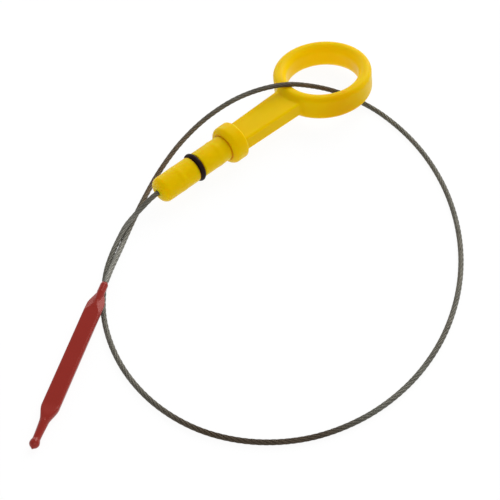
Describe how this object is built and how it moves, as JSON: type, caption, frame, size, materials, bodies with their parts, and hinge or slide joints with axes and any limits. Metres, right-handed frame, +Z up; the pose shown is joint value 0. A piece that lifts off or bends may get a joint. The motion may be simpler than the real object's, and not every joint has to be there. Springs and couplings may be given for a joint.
{
  "type": "engine oil dipstick",
  "caption": "Pull-out oil level gauge: moulded handle with a finger ring and sealing plug, steel wire rope bent in a loop, and a flat indicator tip.",
  "frame": {"origin": "on the plug's axis, where its rounded nose begins", "axes": "+X runs along the handle from the plug to the finger ring, +Z is up from the surface that the dipstick lies on"},
  "size_m": [0.1967, 0.1325, 0.0146],
  "materials": {
    "handle_plastic": "moulded yellow plastic with a soft gloss",
    "seal_rubber": "smooth black rubber",
    "rope_steel": "twisted steel wire, dulled by oil",
    "tip_plastic": "moulded brownish red plastic, satin"
  },
  "bodies": {
    "root": {"handle": "handle_plastic", "o_ring": "seal_rubber", "wire_rope": "rope_steel", "indicator_tip": "tip_plastic"}
  },
  "joints": []
}
